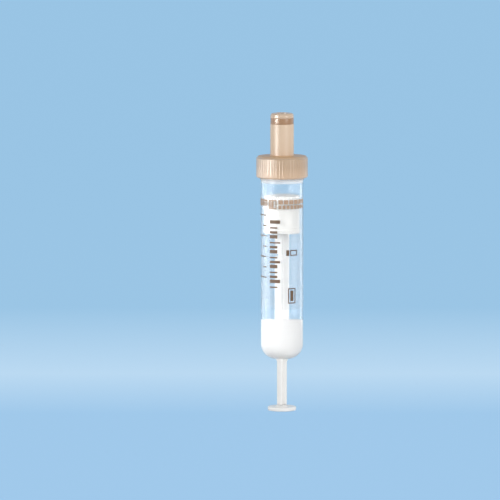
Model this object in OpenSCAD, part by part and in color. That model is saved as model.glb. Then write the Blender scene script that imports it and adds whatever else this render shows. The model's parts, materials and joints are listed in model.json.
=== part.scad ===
// Syringe-type blood collection tube with a screw cap, a plunger and a separating gel.
// All sizes are in millimetres. The tube stands on its thumb plate: z = 0 is the plate's underside,
// +Z runs along the tube's axis towards the needle end, and -Y is the printed front.

/* [Tube] */
// Outer diameter of the barrel
tube_d = 15; // [13:0.1:18]
// Wall thickness of the barrel and its base
wall = 0.9; // [0.7:0.05:1.2]
// Outer radius of the corner between barrel and base
base_corner_r = 5.5; // [4.5:0.1:6]
// Height of the barrel from its base to its rim
tube_h = 70; // [64:0.5:90]
// How far the small bead below the cap stands proud
bead_rise = 0.2; // [0.05:0.05:0.3]
// Height of the small bead below the cap
bead_h = 0.6; // [0.4:0.1:1]

/* [Screw thread] */
// Rise of the thread in one turn
pitch = 2.5; // [2.2:0.1:2.6]
// How far a thread ridge stands proud
thread_depth = 0.45; // [0.3:0.05:0.6]
// Height of a thread ridge where it leaves the wall
thread_root_h = 1.1; // [0.8:0.05:1.2]
// Height of a thread ridge at its crest
thread_crest_h = 0.5; // [0.3:0.05:0.6]
// Turns of thread on the barrel
tube_thread_turns = 1.1; // [1:0.05:1.15]
// Turns of thread in the cap
cap_thread_turns = 1; // [0.75:0.05:1.1]

/* [Cap] */
// Wall of the cap's skirt, from the crest of its ribs
cap_wall = 1; // [0.8:0.05:1.5]
// Length of the skirt below the tube's rim
skirt_h = 5.6; // [5.5:0.1:8]
// Thickness of the cap's roof
roof_t = 2.1; // [1.5:0.1:3]
// Width and height of the slope round the cap's top edge
shoulder = 0.7; // [0.4:0.05:1]
// Width and height of the slope at the skirt's lower edge
skirt_chamfer = 0.5; // [0.3:0.05:0.7]
// Number of grip grooves round the skirt
groove_count = 48; // [36:1:54]
// Depth of a grip groove
groove_depth = 0.2; // [0.1:0.05:0.3]
// Radius of the groove's round bottom
groove_r = 0.35; // [0.25:0.05:0.4]
// Outer diameter of the nipple
nipple_d = 8.3; // [7.8:0.1:9]
// Wall of the nipple
nipple_wall = 1; // [0.8:0.05:1.2]
// Height of the nipple's plain stretch above the roof
nipple_h = 11.3; // [9:0.1:14]
// Radius of the fillet at the nipple's foot
nipple_fillet = 0.4; // [0.2:0.05:0.6]
// Height of the seal that plugs the tube's mouth
plug_h = 1.8; // [1:0.1:2.5]
// Wall of that plug seal
plug_wall = 0.9; // [0.7:0.05:1.2]
// Slope at the plug seal's tip
plug_chamfer = 0.3; // [0.1:0.05:0.5]

/* [Membrane and end ring] */
// Height of the membrane's rim, seen as a dark band
rim_h = 2.1; // [1.5:0.1:3]
// How far the membrane reaches down into the nipple
spigot_h = 1.6; // [1:0.1:3]
// Depth of the dish in the membrane's top and of the hollow under it
dish_depth = 0.4; // [0.1:0.05:0.6]
// Height of the end ring
end_ring_h = 1.7; // [1:0.1:2.4]
// Height of the end ring's upright foot
end_ring_foot_h = 0.6; // [0.1:0.05:0.8]
// How much the end ring narrows to its top, on the radius
end_ring_taper = 0.8; // [0.3:0.05:1]
// Diameter of the needle opening in the end ring
needle_d = 4.4; // [3.5:0.1:4.8]

/* [Piston] */
// Height of the piston
piston_h = 10.2; // [8:0.1:14]
// Gap between the piston's top and the tube's rim, at rest
piston_depth = 14.9; // [12:0.1:18]
// Height of each sealing lip
lip_h = 1.3; // [1:0.1:2]
// How far the piston's waist lies inside its lips
waist_depth = 0.25; // [0.1:0.05:0.5]
// Thickness of the piston's crown
crown_t = 1.6; // [1.2:0.1:2.5]
// Wall of the piston's skirt and of its hub
piston_wall = 1.1; // [0.8:0.05:1.2]
// Height of the granulate layer at the wall
granulate_h = 3.3; // [1.5:0.1:4]
// How much the granulate is heaped in the middle
granulate_heap = 0.5; // [0.2:0.1:1.5]

/* [Plunger rod] */
// Width across the rod's ribs inside the tube
stem_w = 5.1; // [4.8:0.1:5.4]
// Width across the rod's ribs outside the tube
tail_w = 3.45; // [3:0.05:4]
// Thickness of a rib
rib_t = 0.95; // [0.8:0.05:1.2]
// How far the ribs are turned from the front
rib_turn = -14; // [-45:1:45]
// Diameter of the head that sits in the piston
head_d = 4.4; // [3.6:0.1:4.6]
// Length of the head inside the piston
head_h = 4; // [3:0.1:5]
// Slope at the head's tip
head_chamfer = 0.5; // [0.2:0.1:1]
// Height of the taper from tail to stem
stem_taper_h = 1.8; // [1:0.1:3]
// How far below the base that taper starts
taper_below = 1; // [0.5:0.1:2]
// Height of the break-off notch
notch_h = 1; // [0.6:0.1:1.6]
// Width left standing in the notch
notch_w = 2.4; // [1.8:0.1:3]
// How far below the base the notch ends up when the plunger is drawn right out
notch_below = 1.9; // [1:0.1:3]
// Length of the rod outside the tube, plate included
tail_h = 18.2; // [14:0.1:24]
// Diameter of the thumb plate
plate_d = 10; // [8:0.1:14]
// Thickness of the thumb plate
plate_t = 1.25; // [1:0.05:2]
// Rounding of the thumb plate's edges
plate_edge_r = 0.3; // [0.1:0.05:0.45]
// Height and width of the flare where the rod meets the plate
flare = 0.6; // [0.3:0.1:1]

/* [Gel] */
// Height of the gel's surface above the base
gel_top_h = 14; // [10:0.1:16]

/* [Label film] */
// Height of the label's lower edge above the base
label_low_h = 18.3; // [17:0.1:20]
// Height of the label film
label_h = 40; // [39:0.5:42]
// Thickness of the label film
film_t = 0.06; // [0.04:0.01:0.12]
// Thickness of the ink
ink_t = 0.03; // [0.02:0.01:0.05]
// Angle left open between the film's ends, at the back
film_gap_a = 8; // [4:1:30]

/* [Header print] */
// Gap from the label's upper edge down to the header
header_drop = 1.2; // [0.5:0.1:2]
// Height of the header
header_h = 3.2; // [2.6:0.1:4]
// Angle from the front to the left end of the header's right-hand rows
rows_a = -10; // [-12:1:0]
// Height of the upper row
upper_row_h = 1.5; // [1:0.1:1.8]
// Gap between the rows
row_gap = 0.4; // [0.2:0.1:0.6]
// Number of blocks in the upper row
upper_blocks = 6; // [4:1:7]
// Number of blocks in the lower row
lower_blocks = 8; // [6:1:10]
// Length of a row
row_w = 11.2; // [8:0.1:12]
// Gap between two blocks of a row
block_gap = 0.35; // [0.2:0.05:0.6]
// Angle from the front to the middle of the framed square
square_a = -27; // [-30:1:-24]
// Width of the framed square
square_w = 3.1; // [2:0.1:3.2]
// Angle from the front to the right end of the left-hand stripes
stripes_a = -43; // [-50:1:-42]
// Length of the left-hand stripes
stripes_w = 7.5; // [5:0.1:10]
// Height of a left-hand stripe
stripe_h = 0.85; // [0.5:0.05:1.2]

/* [Graduation] */
// Gap from the header down to the first graduation line
scale_drop = 2.2; // [1:0.1:4]
// Number of whole millilitres on the graduation
scale_ml = 3; // [2:1:3]
// Thickness of a graduation line
tick_t = 0.35; // [0.2:0.05:0.6]
// Length of a line at a whole millilitre
long_tick_w = 5; // [3:0.1:6]
// Length of a line at half a millilitre
short_tick_w = 2; // [1:0.1:3]
// Angle from the front to the right end of the graduation lines
ticks_a = -47; // [-60:1:-44]

/* [Front print] */
// Gap from the header down to the column of bars
bars_drop = 3.4; // [2:0.1:6]
// Height of the column of bars
bars_h = 24.5; // [15:0.5:25]
// Number of bars in the column
bar_count = 14; // [8:1:18]
// Width of a wide bar
bar_w = 3.9; // [3:0.1:4.2]
// Width of a narrow bar
narrow_bar_w = 2.9; // [2:0.1:3.9]
// Number of bars from one wide bar to the next
wide_bar_step = 4; // [2:1:6]
// Angle from the front to the middle of the column of bars
bars_a = -20; // [-22:1:-18]
// Gap from the header down to the pair of small blocks
pair_drop = 14.5; // [10:0.1:18]
// Height of the pair
pair_h = 2; // [1:0.1:3]
// Width of its filled block
pair_block_w = 1.1; // [0.8:0.1:1.5]
// Width of its open block
pair_frame_w = 2.8; // [2:0.1:3]
// Angle from the front to the left end of the pair
pair_a = 11; // [8:1:14]
// Gap from the header down to the framed box
box_drop = 28; // [26:0.1:28.4]
// Height of the framed box
box_h = 5.4; // [3:0.1:5.5]
// Width of the framed box
box_w = 2.9; // [2:0.1:4]
// Angle from the front to the middle of the framed box
box_a = 27; // [24:1:34]
// Line width of the frames
line_w = 0.35; // [0.2:0.05:0.5]
// Margin between a frame and the block inside it
frame_margin = 0.5; // [0.3:0.05:0.6]

/* [Fits] */
// Radial clearance of the piston's lips in the bore
lip_clear = 0.05; // [0.02:0.01:0.1]
// Radial clearance of the rod in the base hole
rod_clear = 0.1; // [0.05:0.01:0.2]
// Radial clearance of the plug seal in the tube's mouth
plug_clear = 0.1; // [0.05:0.01:0.2]
// Radial clearance between a thread's crest and the wall it faces
thread_clear = 0.15; // [0.1:0.05:0.2]
// Radial clearance of the granulate in the bore
granulate_clear = 0.2; // [0.1:0.05:0.4]
// Clearance of the gel to the wall and to the rod
gel_clear = 0.1; // [0.05:0.01:0.2]
// Thickness of the glue under the film
glue_t = 0.02; // [0.01:0.01:0.05]
// Radial clearance of the rod's head in the piston
head_clear = 0.05; // [0.02:0.01:0.1]
// Radial clearance of the membrane's spigot in the nipple
spigot_clear = 0.05; // [0.02:0.01:0.1]
// How far the membrane's rim and the end ring lie inside the nipple's outside
rim_inset = 0.05; // [0.02:0.01:0.1]
// Gap between the cap's skirt and the bead below it
skirt_gap = 0.3; // [0.2:0.05:0.6]
// Gap between the skirt's lower edge and the cap's lowest thread
thread_lead = 0.2; // [0.1:0.05:0.3]

/* [Hidden] */
$fn = 96;
cut = 1;
arc_steps = 14;
thread_steps = 30;
thread_lead_steps = 3;
thread_dip = 0.25;
thread_sink = 0.2;
tube_r = tube_d / 2;
bore_r = tube_r - wall;
base_z = tail_h;
inner_base_z = base_z + wall;
base_arc_z = base_z + base_corner_r;
base_arc_x = tube_r - base_corner_r;
rim_z = base_z + tube_h;

// Cap, counted from the tube's rim
skirt_z = rim_z - skirt_h;
bead_z = skirt_z - skirt_gap - bead_h;
cap_bore_r = tube_r + thread_depth + thread_clear;
cap_r = cap_bore_r + cap_wall;
roof_z = rim_z + roof_t;
plug_r = bore_r - plug_clear;
nipple_r = nipple_d / 2;
nipple_bore_r = nipple_r - nipple_wall;
nipple_top_z = roof_z + nipple_h;
ring_z = nipple_top_z + rim_h;
end_z = ring_z + end_ring_h;
rim_r = nipple_r - rim_inset;
needle_r = needle_d / 2;

// Both threads follow one right-handed helix, the cap's half a pitch below the barrel's
cap_thread_z = skirt_z + thread_lead + thread_root_h / 2;
tube_thread_z = cap_thread_z + pitch / 2;

// Plunger, with its whole travel from rest down to the base's corner
piston_top_z = rim_z - piston_depth;
piston_z = piston_top_z - piston_h;
lip_r = bore_r - lip_clear;
waist_r = lip_r - waist_depth;
head_r = head_d / 2;
socket_r = head_r + head_clear;
hub_r = socket_r + piston_wall;
stem_r = stem_w / 2;
tail_r = tail_w / 2;
plate_r = plate_d / 2;
hole_r = stem_r + rod_clear;
travel = piston_z - base_arc_z;
notch_z = base_z - notch_below - notch_h + travel;
taper_z = base_z - taper_below;

// Label
label_z = base_z + label_low_h;
label_top_z = label_z + label_h;
film_in_r = tube_r + glue_t;
film_out_r = film_in_r + film_t;
header_top_z = label_top_z - header_drop;
header_z = header_top_z - header_h;
lower_row_h = header_h - upper_row_h - row_gap;
ml_volume = 1000;
ml_h = ml_volume / (PI * bore_r * bore_r);
bar_fill = [0.7, 0.3, 0.5];

// Points of an arc round a centre
function arc(x, y, r, a0, a1) = [for (i = [0 : arc_steps])
    let (a = a0 + (a1 - a0) * i / arc_steps)
    [x + r * cos(a), y + r * sin(a)]];

// The four corners of a thread ridge's section at one step of its helix
function ridge_section(root_r, crest_r, sink, a, z) = [
    for (p = [[root_r + sink, -thread_root_h / 2], [crest_r, -thread_crest_h / 2],
              [crest_r, thread_crest_h / 2], [root_r + sink, thread_root_h / 2]])
    [p[0] * cos(a), p[0] * sin(a), z + p[1]]];

// A ridge that climbs one pitch a turn and dips into the wall over its first and last steps.
// Its crest lies outside its root on the barrel, and inside it in the cap.
module thread_ridge(root_r, crest_r, z, turns) {
    n = round(turns * thread_steps);
    sink = crest_r > root_r ? -thread_sink : thread_sink;
    points = [for (i = [0 : n])
        let (fade = min(1, min(i, n - i) / thread_lead_steps - thread_dip),
             a = 360 * turns * i / n,
             r = root_r + (crest_r - root_r) * fade)
        each ridge_section(root_r, r, sink, a, z + pitch * turns * i / n)];
    sides = [for (i = [0 : n - 1], k = [0 : 3])
        let (a = 4 * i + k, b = 4 * i + (k + 1) % 4)
        each [[a, b, b + 4], [a, b + 4, a + 4]]];
    ends = [[2, 1, 0], [3, 2, 0], [4 * n, 4 * n + 1, 4 * n + 2], [4 * n, 4 * n + 2, 4 * n + 3]];
    faces = concat(sides, ends);
    polyhedron(points, crest_r > root_r ? faces : [for (f = faces) [f[2], f[1], f[0]]]);
}

// Barrel: straight wall, round base with the rod's hole, bead and thread below the rim
module tube() {
    color([0.86, 0.93, 0.98, 0.35]) {
        difference() {
            union() {
                rotate_extrude()
                    polygon(concat(
                        [[0, base_z]],
                        arc(base_arc_x, base_arc_z, base_corner_r, -90, 0),
                        [[tube_r, rim_z], [bore_r, rim_z]],
                        arc(base_arc_x, base_arc_z, base_corner_r - wall, 0, -90),
                        [[0, inner_base_z]]));
                rotate_extrude()
                    polygon([[bore_r + wall / 2, bead_z], [tube_r, bead_z],
                             [tube_r + bead_rise, bead_z + bead_h / 3],
                             [tube_r + bead_rise, bead_z + 2 * bead_h / 3],
                             [tube_r, bead_z + bead_h], [bore_r + wall / 2, bead_z + bead_h]]);
                thread_ridge(tube_r, tube_r + thread_depth, tube_thread_z, tube_thread_turns);
            }
            translate([0, 0, base_z - cut])
                cylinder(r = hole_r, h = wall + 2 * cut);
        }
    }
}

// Gel: fills the round base round the rod up to a level surface
module separating_gel() {
    color([0.98, 0.98, 0.98])
        difference() {
            rotate_extrude()
                polygon(concat(
                    [[0, inner_base_z + gel_clear]],
                    arc(base_arc_x, base_arc_z, base_corner_r - wall - gel_clear, -90, 0),
                    [[bore_r - gel_clear, base_z + gel_top_h], [0, base_z + gel_top_h]]));
            translate([0, 0, base_z])
                cylinder(r = stem_r + gel_clear, h = gel_top_h + cut);
        }
}

// Wedge of the label round the axis, between two angles counted from the front to the right
module wedge(a0, a1, z, h) {
    reach = 2 * tube_r;
    translate([0, 0, z])
        linear_extrude(h)
            polygon(concat([[0, 0]], [for (i = [0 : arc_steps])
                let (a = a0 + (a1 - a0) * i / arc_steps)
                [reach * sin(a), -reach * cos(a)]]));
}

// Full turn of film or ink
module sleeve(inner_r, t, z, h) {
    difference() {
        translate([0, 0, z])
            cylinder(r = inner_r + t, h = h);
        translate([0, 0, z - cut])
            cylinder(r = inner_r, h = h + 2 * cut);
    }
}

// Clear film wrapped round the barrel, open at the back
module label_film() {
    color([0.93, 0.96, 0.98, 0.25])
        intersection() {
            sleeve(film_in_r, film_t, label_z, label_h);
            wedge(film_gap_a / 2 - 180, 180 - film_gap_a / 2, label_z - cut, label_h + 2 * cut);
        }
}

// Angle that an arc of the film spans
function span(w) = w / film_out_r * 180 / PI;

// One patch of ink from an angle rightwards
module patch(a, w, z, h) {
    intersection() {
        sleeve(film_out_r, ink_t, z, h);
        wedge(a, a + span(w), z - cut, h + 2 * cut);
    }
}

// Outline of a rectangle, with a filled block inside it where margin is positive
module frame_patch(a, w, z, h, margin) {
    inner_w = w - 2 * line_w;
    inner_h = h - 2 * line_w;
    difference() {
        patch(a, w, z, h);
        wedge(a + span(line_w), a + span(line_w + inner_w), z + line_w, inner_h);
    }
    if (margin > 0)
        patch(a + span(line_w + margin), inner_w - 2 * margin, z + line_w + margin,
              inner_h - 2 * margin);
}

// Row of equal blocks
module block_row(count, z, h) {
    block_w = (row_w - (count - 1) * block_gap) / count;
    for (i = [0 : count - 1])
        patch(rows_a + span(i * (block_w + block_gap)), block_w, z, h);
}

module header_print() {
    block_row(upper_blocks, header_top_z - upper_row_h, upper_row_h);
    block_row(lower_blocks, header_z, lower_row_h);
    frame_patch(square_a - span(square_w) / 2, square_w, header_z, header_h, frame_margin);
    for (z = [header_z, header_top_z - stripe_h])
        patch(stripes_a - span(stripes_w), stripes_w, z, stripe_h);
}

// A line at each half millilitre of the bore, longer at the whole ones
module graduation() {
    for (i = [0 : 2 * scale_ml]) {
        w = i % 2 == 0 ? long_tick_w : short_tick_w;
        patch(ticks_a - span(w), w, header_z - scale_drop - i * ml_h / 2 - tick_t, tick_t);
    }
}

// Column of plain bars, in turn thick, thin and middling, with a wide one now and then
module bar_column() {
    step = bars_h / bar_count;
    for (i = [0 : bar_count - 1]) {
        h = step * bar_fill[i % len(bar_fill)];
        w = i % wide_bar_step == 0 ? bar_w : narrow_bar_w;
        patch(bars_a - span(bar_w / 2), w, header_z - bars_drop - (i + 1) * step, h);
    }
}

module label_print() {
    color([0.52, 0.39, 0.27]) {
        header_print();
        graduation();
        bar_column();
        patch(pair_a, pair_block_w, header_z - pair_drop - pair_h, pair_h);
        frame_patch(pair_a + span(pair_block_w + block_gap), pair_frame_w,
                    header_z - pair_drop - pair_h, pair_h, 0);
        frame_patch(box_a - span(box_w) / 2, box_w, header_z - box_drop - box_h, box_h,
                    frame_margin);
    }
}

// Piston: crown, skirt with a lip at each end, and a hub with a socket for the rod's head
module piston() {
    color([0.96, 0.96, 0.95])
        rotate_extrude()
            polygon([
                [socket_r, piston_z], [hub_r, piston_z],
                [hub_r, piston_top_z - crown_t], [waist_r - piston_wall, piston_top_z - crown_t],
                [waist_r - piston_wall, piston_z], [lip_r, piston_z],
                [lip_r, piston_z + lip_h], [waist_r, piston_z + lip_h + waist_depth],
                [waist_r, piston_top_z - lip_h - waist_depth], [lip_r, piston_top_z - lip_h],
                [lip_r, piston_top_z], [0, piston_top_z],
                [0, piston_z + head_h], [socket_r, piston_z + head_h]]);
}

// Rod: crossed ribs inside a turned outline, a round head on top and the thumb plate below
module plunger_rod() {
    color([0.95, 0.95, 0.93]) {
        intersection() {
            rotate_extrude()
                polygon([
                    [0, plate_t / 2], [tail_r, plate_t / 2], [tail_r, taper_z],
                    [stem_r, taper_z + stem_taper_h], [stem_r, notch_z],
                    [notch_w / 2, notch_z + notch_h / 4],
                    [notch_w / 2, notch_z + 3 * notch_h / 4],
                    [stem_r, notch_z + notch_h], [stem_r, piston_z], [0, piston_z]]);
            rotate([0, 0, rib_turn])
                for (a = [0, 90])
                    rotate([0, 0, a])
                        translate([-rib_t / 2, -stem_w, 0])
                            cube([rib_t, 2 * stem_w, piston_z + cut]);
        }
        rotate_extrude()
            polygon([[0, piston_z - head_chamfer], [head_r - head_chamfer, piston_z - head_chamfer],
                     [head_r, piston_z], [head_r, piston_z + head_h - head_chamfer],
                     [head_r - head_chamfer, piston_z + head_h], [0, piston_z + head_h]]);
        rotate_extrude()
            polygon(concat(
                [[0, 0]],
                arc(plate_r - plate_edge_r, plate_edge_r, plate_edge_r, -90, 0),
                arc(plate_r - plate_edge_r, plate_t - plate_edge_r, plate_edge_r, 0, 90),
                [[tail_r + flare, plate_t], [tail_r, plate_t + flare], [0, plate_t + flare]]));
    }
}

// Granulate: a level layer on the piston, slightly heaped in the middle
module granulate() {
    r = bore_r - granulate_clear;
    z = piston_top_z + granulate_h;
    color([0.97, 0.97, 0.96])
        rotate_extrude()
            polygon(concat(
                [[0, piston_top_z], [r, piston_top_z]],
                [for (i = [0 : arc_steps])
                    [r * (1 - i / arc_steps), z + granulate_heap * sin(90 * i / arc_steps)]]));
}

// Cap: ribbed skirt, roof, plug seal, hollow nipple and inside thread
module screw_cap() {
    color([0.80, 0.69, 0.58]) {
        difference() {
            rotate_extrude()
                polygon(concat(
                    [[cap_bore_r, skirt_z], [cap_r - skirt_chamfer, skirt_z],
                     [cap_r, skirt_z + skirt_chamfer], [cap_r, roof_z - shoulder],
                     [cap_r - shoulder, roof_z]],
                    arc(nipple_r + nipple_fillet, roof_z + nipple_fillet, nipple_fillet, 270, 180),
                    [[nipple_r, nipple_top_z], [nipple_bore_r, nipple_top_z],
                     [nipple_bore_r, rim_z], [plug_r - plug_wall, rim_z],
                     [plug_r - plug_wall, rim_z - plug_h],
                     [plug_r - plug_chamfer, rim_z - plug_h],
                     [plug_r, rim_z - plug_h + plug_chamfer], [plug_r, rim_z],
                     [cap_bore_r, rim_z]]));
            for (i = [0 : groove_count - 1])
                rotate([0, 0, 360 * i / groove_count])
                    translate([cap_r + groove_r - groove_depth, 0, skirt_z - cut])
                        cylinder(r = groove_r, h = roof_z - shoulder - skirt_z + cut, $fn = 24);
        }
        thread_ridge(cap_bore_r, cap_bore_r - thread_depth, cap_thread_z, cap_thread_turns);
    }
}

// Membrane: rubber stopper with a rim that shows outside and a spigot in the nipple
module membrane() {
    color([0.60, 0.47, 0.35])
        rotate_extrude()
            polygon([
                [0, nipple_top_z - spigot_h + dish_depth],
                [needle_r, nipple_top_z - spigot_h],
                [nipple_bore_r - spigot_clear, nipple_top_z - spigot_h],
                [nipple_bore_r - spigot_clear, nipple_top_z],
                [rim_r, nipple_top_z], [rim_r, ring_z], [needle_r, ring_z],
                [0, ring_z - dish_depth]]);
}

// End ring: holds the membrane down and leads the needle to its middle
module end_ring() {
    color([0.84, 0.76, 0.66])
        rotate_extrude()
            polygon(concat(
                [[needle_r, ring_z], [rim_r, ring_z]],
                [for (i = [0 : arc_steps]) let (a = 90 * i / arc_steps)
                    [rim_r - end_ring_taper * (1 - cos(a)),
                     ring_z + end_ring_foot_h + (end_ring_h - end_ring_foot_h) * sin(a)]],
                [[needle_r, end_z]]));
}

tube();
separating_gel();
label_film();
label_print();
piston();
plunger_rod();
granulate();
screw_cap();
membrane();
end_ring();
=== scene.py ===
"""Syringe-type blood collection tube: clear barrel, screw cap, plunger, gel and printed label."""
import json
import math
import random

import bpy
from bpy.props import FloatProperty, FloatVectorProperty, IntProperty, PointerProperty
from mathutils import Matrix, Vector

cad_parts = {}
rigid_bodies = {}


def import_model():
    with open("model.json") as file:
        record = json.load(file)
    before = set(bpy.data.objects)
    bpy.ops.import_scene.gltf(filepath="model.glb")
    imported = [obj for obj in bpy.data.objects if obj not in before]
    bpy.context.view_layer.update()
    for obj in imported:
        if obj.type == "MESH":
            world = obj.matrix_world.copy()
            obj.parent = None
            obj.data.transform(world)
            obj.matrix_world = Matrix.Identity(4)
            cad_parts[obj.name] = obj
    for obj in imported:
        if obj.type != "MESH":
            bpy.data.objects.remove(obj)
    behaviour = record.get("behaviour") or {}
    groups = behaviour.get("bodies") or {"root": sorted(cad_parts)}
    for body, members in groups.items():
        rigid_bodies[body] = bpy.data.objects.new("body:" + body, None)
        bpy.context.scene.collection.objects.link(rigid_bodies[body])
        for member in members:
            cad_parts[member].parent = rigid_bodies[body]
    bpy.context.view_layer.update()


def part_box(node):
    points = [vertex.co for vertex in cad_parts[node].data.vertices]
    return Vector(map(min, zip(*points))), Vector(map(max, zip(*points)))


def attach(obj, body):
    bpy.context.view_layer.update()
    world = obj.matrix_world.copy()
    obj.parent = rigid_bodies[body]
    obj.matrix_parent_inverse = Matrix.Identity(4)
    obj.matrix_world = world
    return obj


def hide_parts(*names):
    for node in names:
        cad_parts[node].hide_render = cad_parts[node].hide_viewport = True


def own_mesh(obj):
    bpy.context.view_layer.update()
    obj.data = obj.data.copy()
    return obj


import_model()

bl_info = {
    "name": "Blood collection tube",
    "version": (1, 0, 0),
    "blender": (4, 5, 0),
    "location": "3D View > Sidebar > Blood tube",
    "description": "Builds a syringe-type blood collection tube with its cap, plunger, gel and label",
    "category": "Add Mesh",
}

MM = 0.001
TUBE_LOW, TUBE_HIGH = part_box("tube")
FILM_LOW, FILM_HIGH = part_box("label_film")
PISTON_LOW, PISTON_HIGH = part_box("piston")
CAP_LOW, CAP_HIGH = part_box("screw_cap")
MEMBRANE_LOW, MEMBRANE_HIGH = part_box("membrane")
RING_LOW, RING_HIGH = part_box("end_ring")
# A noise texture's values seldom leave this span.
NOISE_SPAN = {"From Min": 0.3, "From Max": 0.7}


def linear(hex_colour):
    """Linear colour of an sRGB hex value."""
    channels = [int(hex_colour[i:i + 2], 16) / 255 for i in (0, 2, 4)]
    return [c / 12.92 if c <= 0.04045 else ((c + 0.055) / 1.055) ** 2.4 for c in channels] + [1.0]


# ---------------------------------------------------------------- sizes and colours

def length(name, description, default):
    """A length that the user can change, in metres."""
    return FloatProperty(name=name, description=description, default=default, unit="LENGTH",
                         precision=5)


def tint(name, description, hex_colour):
    """A colour that the user can change, from its sRGB hex value."""
    return FloatVectorProperty(name=name, description=description, default=linear(hex_colour),
                               size=4, min=0, max=1, subtype="COLOR")


class BloodTubeSizes(bpy.types.PropertyGroup):
    """Sizes of the barrel, plunger, gel and cap."""

    barrel_radius: length("Barrel radius", "Outer radius of the clear barrel", 7.5 * MM)
    wall: length("Wall", "Wall thickness of the barrel and its base", 0.9 * MM)
    base_z: length(
        "Base height", "Height of the barrel's underside above the table", TUBE_LOW[2])
    base_corner: length(
        "Base corner", "Outer radius of the corner between barrel and base", 5.5 * MM)
    rim_z: length("Rim height", "Height of the barrel's mouth", TUBE_HIGH[2])
    hole_radius: length("Base hole", "Radius of the hole that the plunger rod passes", 2.65 * MM)
    thread_pitch: length("Thread pitch", "Rise of the screw thread in one turn", 2.5 * MM)
    thread_depth: length("Thread depth", "How far a thread ridge stands proud", 0.45 * MM)
    cap_radius: length("Cap radius", "Outer radius of the cap's ribbed skirt", CAP_HIGH[0])
    groove_count: IntProperty(
        name="Grooves", description="Number of grip grooves round the cap",
        default=48, min=12, max=96)
    groove_depth: length("Groove depth", "Depth of a grip groove", 0.1 * MM)
    nipple_radius: length("Nipple radius", "Outer radius of the nipple", 4.15 * MM)
    gel_top: length(
        "Gel surface", "Height of the middle of the gel's surface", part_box("separating_gel")[1][2])
    gel_slope: FloatProperty(
        name="Gel slope", description="How far the gel's surface leans towards the back",
        default=math.radians(6), subtype="ANGLE")
    rib: length("Rib", "Thickness of a rib of the plunger rod", 0.95 * MM)
    rib_turn: FloatProperty(
        name="Rib turn", description="How far the rod's ribs are turned from the front",
        default=math.radians(-14), subtype="ANGLE")
    bead: length("Granulate bead", "Diameter of a bead of the granulate", 1.2 * MM)


class BloodTubeColours(bpy.types.PropertyGroup):
    """Colours of the parts and of the table they stand on."""

    clear_plastic: tint("Clear plastic", "Tint of the clear barrel", "FEFEFE")
    film: tint("Label film", "Tint of the clear label film", "FDFDFD")
    ink: tint("Ink", "Colour of the label's brown ink", "74573C")
    ink_dots: tint("Half-tone dots", "Darker colour of the header's half-tone", "8A694E")
    ink_ground: tint("Half-tone ground", "Paler colour of the header's half-tone", "C0A289")
    cap: tint("Cap", "Colour of the beige cap", "E0C7AE")
    membrane: tint("Membrane", "Colour of the brown rubber", "AF855F")
    end_ring: tint("End ring", "Colour of the light ring at the nipple's end", "D6BBA0")
    white_plastic: tint("White plastic", "Colour of the piston", "F1EFEA")
    granulate: tint("Granulate", "Colour of the granulate's beads", "FDFCF9")
    rod: tint("Rod", "Colour of the milky plunger rod", "F7F7F6")
    gel: tint("Gel", "Colour of the white gel", "F0F0F0")
    table_far: tint(
        "Table, far", "Colour of the table behind the tube and of the surroundings", "97C5E7")
    # The light band is a painted pool of light on the table.
    table_painted_light_band: tint(
        "Table, light band", "Colour of the pale band just behind the tube", "B9DAF4")
    table_near: tint("Table, near", "Colour of the table in front of the tube", "9CC8EC")


class BloodTubePrint(bpy.types.PropertyGroup):
    """Layout of the print on the label."""

    header_top: length(
        "Header top", "Height of the header's upper edge", FILM_HIGH[2] - 1.2 * MM)
    header_height: length("Header height", "Height of the header with both rows", 3.2 * MM)
    row_width: length("Row width", "Length of a row of blocks", 11.2 * MM)
    bars_height: length("Bar column height", "Height of the column of bars", 24.5 * MM)
    bar_count: IntProperty(
        name="Bars", description="Number of bars in the column", default=14, min=4, max=24)
    whole_ml: IntProperty(
        name="Millilitres", description="Number of whole millilitres on the graduation",
        default=3, min=1, max=4)
    line: length("Line width", "Width of the graduation lines and frames", 0.35 * MM)


# ---------------------------------------------------------------- modelling

def deselect():
    """Goes back to object mode with nothing selected."""
    if bpy.context.mode != "OBJECT":
        bpy.ops.object.mode_set(mode="OBJECT")
    bpy.ops.object.select_all(action="DESELECT")


def pick(piece):
    """Selects one piece alone and makes it the active one."""
    deselect()
    piece.select_set(True)
    bpy.context.view_layer.objects.active = piece


def face_outwards():
    """Turns all faces of the mesh being edited outwards and goes back to object mode."""
    bpy.ops.mesh.select_all(action="SELECT")
    bpy.ops.mesh.normals_make_consistent(inside=False)
    bpy.ops.object.mode_set(mode="OBJECT")


def point(name, place):
    """Starts a mesh as a single vertex and stays in edit mode."""
    deselect()
    bpy.ops.mesh.primitive_plane_add(size=MM, location=(0, 0, 0))
    piece = bpy.context.object
    piece.name = piece.data.name = name
    bpy.ops.object.mode_set(mode="EDIT")
    bpy.ops.mesh.select_mode(type="VERT")
    bpy.ops.mesh.select_all(action="SELECT")
    bpy.ops.mesh.merge(type="CENTER")
    bpy.ops.transform.translate(value=place)
    return piece


def lathe(name, outline, steps):
    """Draws an outline of (radius, height) points in mm and spins it round the axis."""
    outline = [(r * MM, z * MM) for r, z in outline]
    piece = point(name, (outline[0][0], 0, outline[0][1]))
    for (r0, z0), (r1, z1) in zip(outline, outline[1:]):
        bpy.ops.mesh.extrude_vertices_move(
            TRANSFORM_OT_translate={"value": (r1 - r0, 0, z1 - z0)})
    bpy.ops.mesh.select_all(action="SELECT")
    bpy.ops.mesh.remove_doubles(threshold=1e-8)
    bpy.ops.mesh.spin(steps=steps, angle=math.tau, center=(0, 0, 0), axis=(0, 0, 1))
    bpy.ops.mesh.select_all(action="SELECT")
    bpy.ops.mesh.remove_doubles(threshold=1e-6)
    face_outwards()
    return piece


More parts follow.
